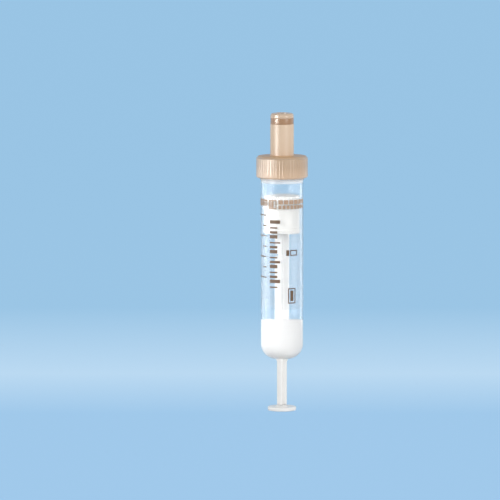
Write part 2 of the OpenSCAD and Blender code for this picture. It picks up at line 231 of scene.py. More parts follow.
def rounded(corners, steps=5):
    """Outline through corners in mm, given as (radius, height, rounding)."""
    outline = []
    for i, (x, z, size) in enumerate(corners):
        here = Vector((x, z))
        if size == 0:
            outline.append((x, z))
            continue
        before = (Vector(corners[i - 1][:2]) - here).normalized()
        after = (Vector(corners[(i + 1) % len(corners)][:2]) - here).normalized()
        half = before.angle(after) / 2
        centre = here + (before + after).normalized() * size / math.sin(half)
        first = here + before * size / math.tan(half) - centre
        last = here + after * size / math.tan(half) - centre
        a0, a1 = math.atan2(first.y, first.x), math.atan2(last.y, last.x)
        sweep = (a1 - a0 + math.pi) % math.tau - math.pi
        for k in range(steps + 1):
            a = a0 + sweep * k / steps
            outline.append((centre.x + size * math.cos(a), centre.y + size * math.sin(a)))
    return outline


def stretch(low, high, step):
    """Evenly spaced values between two heights, both left out."""
    count = max(1, round((high - low) / step))
    return [low + (high - low) * i / count for i in range(1, count)]


def select_where(piece, test, kind="VERT"):
    """Selects what passes a test in the mesh being edited.

    The test gets a vertex's place, an edge's two ends or a face's middle and normal.
    """
    bpy.ops.mesh.select_mode(type=kind)
    bpy.ops.mesh.select_all(action="DESELECT")
    bpy.ops.object.mode_set(mode="OBJECT")
    mesh = piece.data
    if kind == "VERT":
        for v in mesh.vertices:
            v.select = test(v.co)
    elif kind == "EDGE":
        for e in mesh.edges:
            a, b = (mesh.vertices[i].co for i in e.vertices)
            e.select = test(a, b)
    else:
        for f in mesh.polygons:
            f.select = test(f.center, f.normal)
    bpy.ops.object.mode_set(mode="EDIT")


def push_out(piece, shift):
    """Moves each vertex off the axis by what shift gives for its radius, angle and height."""
    for v in piece.data.vertices:
        r = math.hypot(v.co.x, v.co.y)
        if r > 0:
            k = 1 + shift(r, math.atan2(v.co.y, v.co.x), v.co.z) / r
            v.co.x *= k
            v.co.y *= k


def ridge(angle, z, first_z, turns, pitch):
    """Share of a thread ridge's depth at one angle and height; it fades in and out at its ends."""
    # Half the ridge's height at its root and at its crest, and the angle over which it fades.
    root, crest, lead = 0.55 * MM, 0.25 * MM, math.radians(36)
    share, a = 0.0, angle % math.tau
    while a <= math.tau * turns:
        off = abs(z - first_z - pitch * a / math.tau)
        fade = min(1, a / lead, (math.tau * turns - a) / lead)
        slope = min(1, max(0, (root - off) / (root - crest)))
        share = max(share, fade * slope * slope * (3 - 2 * slope))
        a += math.tau
    return share


def join(name, *pieces):
    """Joins pieces into the first one."""
    deselect()
    for p in pieces:
        p.select_set(True)
    bpy.context.view_layer.objects.active = pieces[0]
    bpy.ops.object.join()
    pieces[0].name = pieces[0].data.name = name
    return pieces[0]


def finish_piece(piece, material, body, slot, *nodes, angle=35):
    """Shades a piece, gives it its material and ties it to its CAD body and nodes. Its slot is not
    used.
    """
    pick(piece)
    bpy.ops.object.shade_smooth_by_angle(angle=math.radians(angle))
    # Long walls keep their own normals right up to the small roundings at their ends.
    walls = piece.modifiers.new("Straight walls", "WEIGHTED_NORMAL")
    walls.mode = "FACE_AREA"
    walls.keep_sharp = True
    bpy.ops.object.modifier_apply(modifier=walls.name)
    piece.data.materials.clear()
    piece.data.materials.append(material)
    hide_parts(*nodes)
    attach(piece, body)


def cross_prism(name, levels, rib):
    """Prism with a cross section: a plane drawn out to four ribs, then drawn up level by level."""
    deselect()
    z, reach = levels[0]
    near = 1e-7
    bpy.ops.mesh.primitive_plane_add(size=rib, location=(0, 0, 0))
    piece = bpy.context.object
    piece.name = piece.data.name = name
    bpy.ops.object.mode_set(mode="EDIT")
    bpy.ops.mesh.select_all(action="SELECT")
    bpy.ops.transform.translate(value=(0, 0, z))
    ways = [Vector((1, 0, 0)), Vector((0, 1, 0)), Vector((-1, 0, 0)), Vector((0, -1, 0))]
    for way in ways:
        select_where(piece, lambda a, b: (a + b).dot(way) > rib * 0.9
                     and abs((a + b).to_2d().cross(way.to_2d())) < rib * 0.1, "EDGE")
        bpy.ops.mesh.extrude_region_move(
            TRANSFORM_OT_translate={"value": way * (reach - rib / 2)})
    bpy.ops.mesh.select_mode(type="FACE")
    bpy.ops.mesh.select_all(action="SELECT")
    for (z0, r0), (z1, r1) in zip(levels, levels[1:]):
        bpy.ops.mesh.extrude_region_move(TRANSFORM_OT_translate={"value": (0, 0, z1 - z0)})
        if r1 != r0:
            for way in ways:
                select_where(piece, lambda c: c.z > z1 - near and c.dot(way) > rib * 0.6)
                bpy.ops.transform.translate(value=way * (r1 - r0))
            select_where(piece, lambda c, n: c.z > z1 - near, "FACE")
    bpy.ops.mesh.select_all(action="SELECT")
    bpy.ops.mesh.normals_make_consistent(inside=False)
    return piece


def bevel_uprights(piece, test, size, steps):
    """Rounds the upright edges of the mesh being edited whose ends pass a test."""
    select_where(piece, lambda a, b: abs(a.z - b.z) > 1e-6 and test(a) and test(b), "EDGE")
    bpy.ops.mesh.bevel(offset=size, segments=steps, affect="EDGES")


def turn(angle):
    """Turns the mesh being edited about the axis, anticlockwise from above."""
    bpy.ops.mesh.select_all(action="SELECT")
    bpy.ops.transform.rotate(value=-angle, orient_axis="Z", center_override=(0, 0, 0))
    bpy.ops.object.mode_set(mode="OBJECT")


def strip(radius, angle, sweep, z, height):
    """Adds a curved patch to the mesh being edited: an upright edge spun round the axis."""
    bpy.ops.mesh.select_all(action="DESELECT")
    bpy.ops.mesh.primitive_plane_add(size=MM, location=(0, 0, 0))
    bpy.ops.mesh.merge(type="CENTER")
    bpy.ops.transform.translate(
        value=(radius * math.sin(angle), -radius * math.cos(angle), z))
    bpy.ops.mesh.extrude_vertices_move(TRANSFORM_OT_translate={"value": (0, 0, height)})
    bpy.ops.mesh.select_linked()
    degrees_a_step = 2.5
    steps = max(2, round(math.degrees(sweep) / degrees_a_step))
    bpy.ops.mesh.spin(steps=steps, angle=-sweep, center=(0, 0, 0), axis=(0, 0, 1))


def thicken(piece, thickness):
    """Gives a sheet its thickness outwards."""
    pick(piece)
    centre = piece.data.polygons[0].center
    outwards = piece.data.polygons[0].normal.dot(Vector((centre.x, centre.y, 0))) > 0
    wall = piece.modifiers.new("Wall", "SOLIDIFY")
    wall.thickness = thickness
    wall.offset = 1 if outwards else -1
    bpy.ops.object.modifier_apply(modifier=wall.name)
    bpy.ops.object.mode_set(mode="EDIT")
    face_outwards()


# ---------------------------------------------------------------- materials

def add_node(tree, kind, inputs=None, **settings):
    """Adds a shader node, sets its fields, and fills its inputs with values or links."""
    node = tree.nodes.new("ShaderNode" + kind)
    for field, value in settings.items():
        setattr(node, field, value)
    for key, value in (inputs or {}).items():
        if isinstance(value, bpy.types.Node):
            value = value.outputs[0]
        if isinstance(value, bpy.types.NodeSocket):
            tree.links.new(value, node.inputs[key])
        else:
            node.inputs[key].default_value = value
    return node


def new_material(name):
    """Empty material, its node tree and Object coordinates."""
    material = bpy.data.materials.new(name)
    material.use_nodes = True
    tree = material.node_tree
    tree.nodes.clear()
    return material, tree, add_node(tree, "TexCoord").outputs["Object"]


def shade(colour, share):
    """The colour made darker by a share."""
    return [c * (1 - share) for c in colour[:3]] + [1.0]


def moulded(name, colour, roughness, grain_mm, grain_depth_mm, mottle=0.04, **sockets):
    """Moulded plastic: faint clouds in its colour, and a fine grain that breaks up its gloss."""
    material, tree, place = new_material(name)
    cloud = add_node(tree, "TexNoise", {"Vector": place, "Scale": 1 / (4 * MM)})
    grain = add_node(tree, "TexNoise", {
        "Vector": place, "Scale": 1 / (grain_mm * MM), "Detail": 3.0})
    paint = add_node(tree, "Mix", {
        0: cloud.outputs["Fac"], 6: shade(colour, mottle), 7: colour}, data_type="RGBA")
    uneven = add_node(tree, "MapRange", {"Value": grain.outputs["Fac"], **NOISE_SPAN,
                                         "To Min": roughness - 0.04, "To Max": roughness + 0.04})
    relief = add_node(tree, "Bump", {
        "Height": grain.outputs["Fac"], "Strength": 1.0, "Distance": grain_depth_mm * MM})
    shader = add_node(tree, "BsdfPrincipled", {
        "Base Color": paint.outputs[2], "Roughness": uneven, "Normal": relief, **sockets})
    add_node(tree, "OutputMaterial", {"Surface": shader})
    return material


def beige_polyethylene(colour, roof):
    """Polyethylene from a polished mould: a soft, broad gloss over a beige with painted shade by
    height.
    """
    material = moulded("Moulded beige polyethylene", colour, 0.36, 0.35, 0.0012,
                       **{"Coat Roughness": 0.38})
    tree = material.node_tree
    shader = tree.nodes["Principled BSDF"]
    place = add_node(tree, "TexCoord").outputs["Object"]
    height = add_node(tree, "SeparateXYZ", {0: place}).outputs["Z"]
    # Painted shade by height: the beige is painted darkest up the skirt, a little lighter round the
    # roof and lighter at the skirt's foot, and the nipple keeps it whole.
    # The stops are shares of the way from 8 mm below the roof's top to 2 mm above it.
    part = add_node(tree, "MapRange", {
        "Value": height, "From Min": roof - 8 * MM, "From Max": roof + 2 * MM})
    painted_shade_by_height = add_node(tree, "ValToRGB", {0: part})
    for _ in range(3):
        painted_shade_by_height.color_ramp.elements.new(0.5)
    for stop, at, share in zip(painted_shade_by_height.color_ramp.elements, (0, 0.45, 0.72, 0.81, 0.87), (
            (1.0, 0.86, 0.7), (0.74, 0.6, 0.43), (0.75, 0.63, 0.47), (0.85, 0.75, 0.62),
            (1, 1, 1))):
        stop.position, stop.color = at, (*share, 1)
    # The beige is multiplied by the painted shade.
    paint = add_node(tree, "Mix", {
        0: 1.0, 6: shader.inputs["Base Color"].links[0].from_socket, 7: painted_shade_by_height},
        data_type="RGBA", blend_type="MULTIPLY")
    tree.links.new(paint.outputs[2], shader.inputs["Base Color"])
    # The skirt is polished, the flat top is left matt, and the nipple is between the two.
    for socket, skirt, top, nipple in (("Coat Weight", 1.0, 0.0, 0.0),
                                       ("Specular IOR Level", 1.0, 0.1, 0.4)):
        gloss = add_node(tree, "ValToRGB", {0: part})
        gloss.color_ramp.elements.new(0.79)
        gloss.color_ramp.elements.new(0.81)
        for stop, at, share in zip(gloss.color_ramp.elements, (0.77, 0.79, 0.81, 0.84),
                                   (skirt, top, top, nipple)):
            stop.position, stop.color = at, (share, share, share, 1)
        tree.links.new(gloss.outputs[0], shader.inputs[socket])
    return material


def pale_polyethylene(colour):
    """The end ring's polyethylene: a little paler and more matt than the cap."""
    return moulded("Moulded pale beige polyethylene", colour, 0.27, 0.35, 0.002,
                   **{"Specular IOR Level": 0.8})


def butyl_rubber(colour):
    """Pressed butyl rubber: brown, with a dull gloss on a fine skin."""
    return moulded("Brown butyl rubber", colour, 0.28, 0.25, 0.002, mottle=0.1,
                   **{"Specular IOR Level": 0.8})


def white_polyethylene(colour):
    """The piston's polyethylene: opaque white with a waxy sheen."""
    return moulded("Moulded white polyethylene", colour, 0.38, 0.5, 0.002)


def milky_polystyrene(colour):
    """The rod's polystyrene: milky, so that light spreads in it and lights up its recesses."""
    return moulded("Moulded milky polystyrene", colour, 0.4, 0.6, 0.002,
                   **{"IOR": 1.55, "Subsurface Weight": 0.7, "Subsurface Scale": 1.2 * MM,
                      "Subsurface Radius": (1, 1, 1)})


def bead_granulate(colour):
    """Polystyrene beads with a clotting coat: dull white with a fine grain."""
    return moulded("Coated bead granulate", colour, 0.45, 0.4, 0.004)


def separating_gel(colour):
    """Thixotropic gel: white, smooth and wet against the wall."""
    return moulded("Thixotropic separating gel", colour, 0.32, 1.5, 0.02, mottle=0.02, IOR=1.4)


def lets_lamps_through(tree, shader):
    """Surface that casts no dark shadow, as clear plastic: rays on their way to a lamp pass it."""
    path = add_node(tree, "LightPath")
    clear = add_node(tree, "BsdfTransparent", {"Color": linear("FDFDFD")})
    mix = add_node(tree, "MixShader", {0: path.outputs["Is Shadow Ray"], 1: shader, 2: clear})
    add_node(tree, "OutputMaterial", {"Surface": mix})


def clear_polypropylene(colour):
    """Injection-moulded polypropylene: clear, with a milky haze and faint flow lines up the wall."""
    material, tree, place = new_material("Clear moulded polypropylene")
    upright = add_node(tree, "Mapping", {"Vector": place, "Scale": (1, 1, 0.12)})
    flow = add_node(tree, "TexNoise", {"Vector": upright, "Scale": 1 / (2.5 * MM)})
    haze = add_node(tree, "MapRange", {
        "Value": flow.outputs["Fac"], **NOISE_SPAN, "To Min": 0.11, "To Max": 0.15})
    relief = add_node(tree, "Bump", {
        "Height": flow.outputs["Fac"], "Strength": 1.0, "Distance": 0.0015 * MM})
    # The thick bead below the cap is drawn milky, and this whiter band is also a painted highlight
    # that covers the shade under the cap.
    bead_milk_and_highlight_z = 81.6 * MM
    height = add_node(tree, "SeparateXYZ", {0: place})
    off = add_node(tree, "Math", {0: height.outputs["Z"], 1: bead_milk_and_highlight_z}, operation="SUBTRACT")
    away = add_node(tree, "Math", {0: off}, operation="ABSOLUTE")
    clear = add_node(tree, "MapRange", {
        "Value": away, "From Min": 0.4 * MM, "From Max": 0.9 * MM,
        "To Min": 0.6, "To Max": 0.97})
    shader = add_node(tree, "BsdfPrincipled", {
        "Base Color": colour, "IOR": 1.49, "Transmission Weight": clear, "Roughness": haze,
        "Normal": relief})
    lets_lamps_through(tree, shader)
    return material


def clear_film(colour):
    """Clear polyester label film: a thin skin that hardly bends light, glossy at a slant."""
    material, tree, place = new_material("Clear polyester label film")
    ripple = add_node(tree, "TexNoise", {"Vector": place, "Scale": 1 / (3 * MM)})
    milk = add_node(tree, "MapRange", {
        "Value": ripple.outputs["Fac"], **NOISE_SPAN, "To Min": 0.02, "To Max": 0.04})
    clear = add_node(tree, "BsdfTransparent", {"Color": colour})
    haze = add_node(tree, "BsdfDiffuse", {"Color": colour})
    body = add_node(tree, "MixShader", {0: milk, 1: clear, 2: haze})
    gloss = add_node(tree, "BsdfGlossy", {"Color": colour, "Roughness": 0.22})
    slant = add_node(tree, "LayerWeight", {"Blend": 0.5})
    steep = add_node(tree, "Math", {0: slant.outputs["Facing"], 1: 4.0}, operation="POWER")
    share = add_node(tree, "MapRange", {"Value": steep, "To Min": 0.02, "To Max": 0.22})
    skin = add_node(tree, "MixShader", {0: share, 1: body, 2: gloss})
    lets_lamps_through(tree, skin)
    return material


def brown_ink(colours, header_low):
    """Screen-printed ink: matt and slightly uneven, with a paler half-tone in the header."""
    material, tree, place = new_material("Screen-printed brown ink")
    cover = add_node(tree, "TexNoise", {
        "Vector": place, "Scale": 1 / (0.35 * MM), "Detail": 3.0})
    solid = add_node(tree, "Mix", {
        0: cover.outputs["Fac"], 6: shade(colours.ink, 0.18), 7: colours.ink}, data_type="RGBA")
    # The real screen is too fine to show, so its cells are drawn 0.3 mm wide.
    screen = add_node(tree, "TexVoronoi", {"Vector": place, "Scale": 1 / (0.3 * MM)})
    dots = add_node(tree, "MapRange", {
        "Value": screen.outputs["Distance"], "From Min": 0.15, "From Max": 0.45})
    half_tone = add_node(tree, "Mix", {
        0: dots, 6: colours.ink_dots, 7: colours.ink_ground}, data_type="RGBA")
    height = add_node(tree, "SeparateXYZ", {0: place})
    header = add_node(tree, "Math", {0: height.outputs["Z"], 1: header_low - MM},
                      operation="GREATER_THAN")
    paint = add_node(tree, "Mix", {
        0: header, 6: solid.outputs[2], 7: half_tone.outputs[2]}, data_type="RGBA")
    relief = add_node(tree, "Bump", {
        "Height": cover.outputs["Fac"], "Strength": 1.0, "Distance": 0.004 * MM})
    shader = add_node(tree, "BsdfPrincipled", {
        "Base Color": paint.outputs[2], "Roughness": 0.55, "Normal": relief})
    add_node(tree, "OutputMaterial", {"Surface": shader})
    return material


def seen_directly(tree):
    """1 for a look at a surface, also by gloss or through clear plastic, and 0 for its light."""
    path = add_node(tree, "LightPath")
    eye = add_node(tree, "Math", {
        0: path.outputs["Is Camera Ray"], 1: path.outputs["Is Glossy Ray"]}, operation="MAXIMUM")
    through = add_node(tree, "Math", {0: eye, 1: path.outputs["Is Transmission Ray"]},
                       operation="MAXIMUM")
    unscattered = add_node(tree, "Math", {0: path.outputs["Diffuse Depth"], 1: 0.5},
                           operation="LESS_THAN")
    return add_node(tree, "Math", {0: through, 1: unscattered}, operation="MULTIPLY")


def studio_table(colours):
    """Painted studio table: pale blue, with a painted pool of light as a lighter band behind the
    tube, and a faint shadow.
    """
    material, tree, place = new_material("Pale blue painted table")
    # The lighter band is a painted pool of light. The band's stops are shares of the way from 200 mm
    # before the tube to 500 mm behind it.
    along = add_node(tree, "SeparateXYZ", {0: place})
    run = add_node(tree, "MapRange", {
        "Value": along.outputs["Y"], "From Min": -0.2, "From Max": 0.5})
    ramp = add_node(tree, "ValToRGB", {0: run})
    ramp.color_ramp.elements.new(0.5)
    for stop, at, colour in zip(ramp.color_ramp.elements, (0.272, 0.426, 0.725),
                                (colours.table_near, colours.table_painted_light_band, colours.table_far)):
        stop.position, stop.color = at, colour
    lit = add_node(tree, "BsdfDiffuse", {"Color": linear("F3F5F6")})
    seen = add_node(tree, "Emission", {"Color": ramp, "Strength": 1.0})
    share = add_node(tree, "Math", {0: seen_directly(tree), 1: 0.94}, operation="MULTIPLY")
    mix = add_node(tree, "MixShader", {0: share, 1: lit, 2: seen})
    add_node(tree, "OutputMaterial", {"Surface": mix})
    return material


# ---------------------------------------------------------------- operators

class BuildStage(bpy.types.Operator):
    """Adds the table, the camera, the lamps and the surroundings"""

    bl_idname = "blood_tube.stage"
    bl_label = "Table, camera and lamps"

    def execute(self, context):
        colours = context.scene.blood_tube_colours
        deselect()
        bpy.ops.mesh.primitive_circle_add(vertices=96, radius=3.0, fill_type="NGON")
        table = context.object
        table.name = "table"
        table.data.materials.append(studio_table(colours))

        world = bpy.data.worlds.new("Studio surroundings")
        context.scene.world = world
        world.use_nodes = True
        tree = world.node_tree
        tree.nodes.clear()
        ambient = add_node(tree, "Background", {"Color": linear("FFFCF8"), "Strength": 0.55})
        seen = add_node(tree, "Background", {"Color": colours.table_far, "Strength": 1.0})
        mix = add_node(tree, "MixShader", {0: seen_directly(tree), 1: ambient, 2: seen})
        add_node(tree, "OutputWorld", {"Surface": mix})

        # Each lamp's name, degrees round to the right and up, distance, width and height, and watts.
        for name, around, lift, distance, size, power in (
                ("Softbox front left", -48, 12, 0.9, (0.5, 0.4), 1.1),
                ("Softbox front right", 44, 12, 0.9, (0.5, 0.4), 2.15),
                ("Softbox high front", 0, 30, 0.9, (0.4, 0.3), 0.75),
                ("Softbox left side", -118, 8, 0.6, (0.5, 0.4), 0.45),
                ("Softbox right side", 118, 8, 0.6, (0.5, 0.4), 0.4)):
            self.lamp(name, around, lift, distance, size, power)
        # Strips stand close by, so that their mirror images run down the upright walls. They give
        # matt surfaces no light. The last value is the height of a strip's middle.
        for name, around, distance, size, power, height in (
                ("Gloss strip for the cap", -57, 0.22, (0.105, 0.184), 0.85, 0.158),
                ("Gloss strip for the barrel", -88, 0.15, (0.13, 0.066), 0.065, 0.033),
                ("Rim strip left", -132, 0.15, (0.035, 0.066), 0.0045, 0.033),
                ("Rim strip right", 134, 0.15, (0.035, 0.066), 0.005, 0.033)):
            self.lamp(name, around, 0, distance, size, power, height).visible_diffuse = False

        aim, distance, lift = Vector((-0.0113, 0, 0.0569)), 1.961, math.radians(6.2)
        back = Vector((0, -math.cos(lift), math.sin(lift)))
        bpy.ops.object.camera_add(location=aim + back * distance)
        camera = context.object
        camera.name = "Camera"
        camera.rotation_euler = (-back).to_track_quat("-Z", "Y").to_euler()
        camera.data.lens = 400
        camera.data.sensor_width = 36
        camera.data.clip_start, camera.data.clip_end = 0.05, 20
        context.scene.camera = camera
        context.scene.view_settings.view_transform = "Standard"
        return {"FINISHED"}

    def lamp(self, name, around, lift, distance, size, power, height=0.06):
        """Rectangular lamp aimed at the axis; around is counted from the front to the right."""
        a, e = math.radians(around), math.radians(lift)
        way = Vector((math.sin(a) * math.cos(e), -math.cos(a) * math.cos(e), math.sin(e)))
        aim = Vector((0, 0, height))
        bpy.ops.object.light_add(type="AREA", location=aim + way * distance)
        box = bpy.context.object
        box.name = box.data.name = name
        box.rotation_euler = (-way).to_track_quat("-Z", "Y").to_euler()
        box.data.shape = "RECTANGLE"
        box.data.size, box.data.size_y = size
        box.data.energy = power
        box.visible_camera = False
        return box


class BuildBarrel(bpy.types.Operator):
    """Builds the clear barrel with its round base, rod hole, bead and thread"""

    bl_idname = "blood_tube.barrel"
    bl_label = "Barrel"

    def execute(self, context):
        s = context.scene.blood_tube_sizes
        outer, bore = s.barrel_radius / MM, (s.barrel_radius - s.wall) / MM
        base, rim, corner = s.base_z / MM, s.rim_z / MM, s.base_corner / MM
        middle_x, middle_z = outer - corner, base + corner
        hole = s.hole_radius / MM
        bead_low, bead_high, bead_rise = 81.7, 82.3, 0.2
        thread_z, thread_turns, ring_gap = 84.6, 1.1, 0.12

        def arc(radius, first, last, steps=16):
            """Arc of the base's corner between two distances from the axis."""
            a0 = -math.acos((first - middle_x) / radius)
            a1 = -math.acos((last - middle_x) / radius)
            angles = [a0 + (a1 - a0) * i / steps for i in range(steps + 1)]
            return [(middle_x + radius * math.cos(a), middle_z + radius * math.sin(a))
                    for a in angles]

        outline = arc(corner, hole + 0.12, outer)
        outline += [(outer, z) for z in stretch(middle_z, bead_low, 6)]
        outline += rounded([
            (outer, bead_low, 0), (outer + bead_rise, bead_low + 0.15, 0.08),
            (outer + bead_rise, bead_high - 0.15, 0.08), (outer, bead_high, 0)], steps=3)
        outline += [(outer, z) for z in stretch(bead_high, rim - 0.2, ring_gap)]
        outline += rounded([(outer, rim - 0.5, 0), (outer, rim, 0.15), (bore, rim, 0.15),
                            (bore, rim - 0.5, 0)], steps=4)[1:-1]
        outline += [(bore, z) for z in reversed(stretch(middle_z, rim - 0.5, 6))]
        outline += arc(corner - s.wall / MM, bore, hole + 0.1)
        outline += [(hole, base + 0.8), (hole, base + 0.15)]
        outline.append(outline[0])
        barrel = lathe("barrel", outline, 160)

        def thread(r, a, z):
            """The thread's ridge on the outside, above the bead."""
            if r < s.barrel_radius - 0.05 * MM or z < (bead_high + 0.1) * MM:
                return 0
            return s.thread_depth * ridge(a, z, thread_z * MM, thread_turns, s.thread_pitch)

        push_out(barrel, thread)
        finish_piece(barrel, clear_polypropylene(context.scene.blood_tube_colours.clear_plastic),
                     "barrel", "clear_plastic", "tube")
        return {"FINISHED"}


class BuildGel(bpy.types.Operator):
    """Builds the white gel: a bowl in the round base, and a column that the piston squeezes"""

    bl_idname = "blood_tube.gel"
    bl_label = "Separating gel"

    def execute(self, context):
        s = context.scene.blood_tube_sizes
        # In mm: how far the gel overlaps the wall that it wets and creeps up it, how far the seam
        # between its two meshes lies below the base's corner's end, and the rod channel's reach.
        wetting, meniscus, seam_drop, rod_reach = 0.03, 0.15, 0.3, 2.6
        radius = (s.barrel_radius - s.wall) / MM + wetting
        middle_x = (s.barrel_radius - s.base_corner) / MM
        middle_z = (s.base_z + s.base_corner) / MM
        corner = (s.base_corner - s.wall) / MM + wetting
        seam = middle_z - seam_drop
        top = s.gel_top / MM
        steps = 14
        start, end = -math.pi / 2, -math.asin(seam_drop / corner)
        bowl_outline = [(0, middle_z - corner)]
        for i in range(steps + 1):
            a = start + (end - start) * i / steps
            bowl_outline.append((middle_x + corner * math.cos(a), middle_z + corner * math.sin(a)))
        bowl_outline.append((0, seam))
        column_outline = [(0, seam), (bowl_outline[-2][0], seam)]
        column_outline += rounded([
            (radius, seam + 0.4, 0), (radius, top + meniscus, 0.12),
            (radius - 0.45, top - 0.05, 0.5), (rod_reach + 1, top - 0.05, 1.0),
            (rod_reach, top + meniscus, 0)], steps=4)
        column_outline.append((0, top + meniscus))
        material = separating_gel(context.scene.blood_tube_colours.gel)
        for name, outline in (("gel_bowl", bowl_outline), ("gel_column", column_outline)):
            gel = lathe(name, outline, 96)
            if name == "gel_column":
                # Its surface leans back.
                for v in gel.data.vertices:
                    if v.co.z > (top - 1) * MM:
                        v.co.z -= math.tan(s.gel_slope) * v.co.y
            cutter = cross_prism("rod_channel", [(z * MM, rod_reach * MM) for z in (18, 36)],
                                 s.rib + 0.12 * MM)
            turn(s.rib_turn)
            pick(gel)
            channel = gel.modifiers.new("Rod channel", "BOOLEAN")
            channel.object = cutter
            channel.operation = "DIFFERENCE"
            channel.solver = "EXACT"
            bpy.ops.object.modifier_apply(modifier=channel.name)
            bpy.data.objects.remove(cutter)
            finish_piece(gel, material, "barrel", "gel", "separating_gel")
            if name == "gel_column":
                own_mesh(gel)
        return {"FINISHED"}


class BuildLabel(bpy.types.Operator):
    """Wraps the clear label film round the barrel and prints it with brown ink"""

    bl_idname = "blood_tube.label"
    bl_label = "Label"

    def execute(self, context):
        s, p = context.scene.blood_tube_sizes, context.scene.blood_tube_print
        colours = context.scene.blood_tube_colours
        glue, film_thickness, ink_thickness = 0.02 * MM, 0.06 * MM, 0.03 * MM
        inner = s.barrel_radius + glue
        gap = math.radians(8)
        film = point("clear_film", (0, 0, 0))
        bpy.ops.mesh.delete(type="VERT")
        strip(inner, gap / 2 - math.pi, math.tau - gap, FILM_LOW[2], FILM_HIGH[2] - FILM_LOW[2])
        thicken(film, film_thickness)
        finish_piece(film, clear_film(colours.film), "barrel", "film", "label_film")

        radius = inner + film_thickness
        ink = point("brown_print", (0, 0, 0))
        bpy.ops.mesh.delete(type="VERT")
        # Degrees from the front to the right-hand rows, the left-hand stripes, the framed square,
        # the bars, the graduation, the pair of small blocks and the framed box.
        rows, stripes, square, bars, ticks, pair, box = -10, -43, -27, -20, -47, 11, 27

        def at(degrees, shift=0.0):
            """Angle of a place on the film: degrees from the front, and then mm to the right."""
            return math.radians(degrees) + shift * MM / radius

        def patch(angle, width, z, height):
            """One patch of ink from an angle rightwards."""
            strip(radius, angle, width / radius, z, height)

        def blocks(count, z, height):
            """Row of equal blocks."""
            apart = 0.35 * MM
            width = (p.row_width - (count - 1) * apart) / count
            for i in range(count):
                patch(at(rows) + i * (width + apart) / radius, width, z, height)

        def hatch(angle, width, z, height):
            """Field of fine level lines, which looks paler than solid ink."""
            line, pitch = 0.23 * MM, 0.3 * MM
            count = max(2, round(height / pitch))
            for i in range(count):
                patch(angle, width, z + height * i / count, line)

        def framed(angle, width, z, height, filled):
            """Frame of four strips, with a block inside it where filled."""
            line, margin = p.line, 0.5 * MM
            for level in (z, z + height - line):
                patch(angle, width, level, line)
            for side in (angle, angle + (width - line) / radius):
                patch(side, line, z + line, height - 2 * line)
            if filled:
                patch(angle + (line + margin) / radius, width - 2 * (line + margin),
                      z + line + margin, height - 2 * (line + margin))

        top, low = p.header_top, p.header_top - p.header_height
        upper_h, lower_h = 1.5 * MM, 1.3 * MM
        blocks(6, top - upper_h, upper_h)
        blocks(8, low, lower_h)
        stripes_w, stripe_h = 7.5, 0.6 * MM
        patch(at(stripes, -stripes_w), stripes_w * MM, top - stripe_h, stripe_h)
        hatch(at(stripes, -stripes_w), stripes_w * MM, low + 0.9 * MM, 1.6 * MM)
        wide, narrow, bars_drop = 3.9, 2.9, 3.4 * MM
        step = p.bars_height / p.bar_count
        for i in range(p.bar_count):
            width = wide if i % 4 == 0 else narrow
            patch(at(bars, -wide / 2), width * MM,
                  low - bars_drop - (i + 1) * step, step * (0.7, 0.3, 0.5)[i % 3])
        scale_drop = 2.2 * MM
        bore = (s.barrel_radius - s.wall) / MM
        ml = 1000 / (math.pi * bore * bore) * MM
        for i in range(2 * p.whole_ml + 1):
            # Half millilitres have a short line.
            width = 2 if i % 2 else 5
            patch(at(ticks, -width), width * MM, low - scale_drop - i * ml / 2 - p.line, p.line)
        pair_z, pair_h, pair_step = low - 16.5 * MM, 2 * MM, 1.45
        patch(at(pair), 1.1 * MM, pair_z, pair_h)
        square_w, box_w, box_h, box_drop = 3.1, 2.9, 5.4 * MM, 33.4 * MM
        framed(at(square, -square_w / 2), square_w * MM, low, p.header_height, False)
        inset = 0.4 * MM
        inside_h = p.header_height - 2 * inset
        hatch(at(square, -1.2), 1.1 * MM, low + inset, inside_h)
        patch(at(square, -0.1), 0.55 * MM, low + inset, inside_h)
        framed(at(pair, pair_step), 2.8 * MM, pair_z, pair_h, False)
        framed(at(box, -box_w / 2), box_w * MM, low - box_drop, box_h, True)
        bpy.ops.object.mode_set(mode="OBJECT")
        thicken(ink, ink_thickness)
        finish_piece(ink, brown_ink(colours, low), "barrel", "print", "label_print")
        return {"FINISHED"}


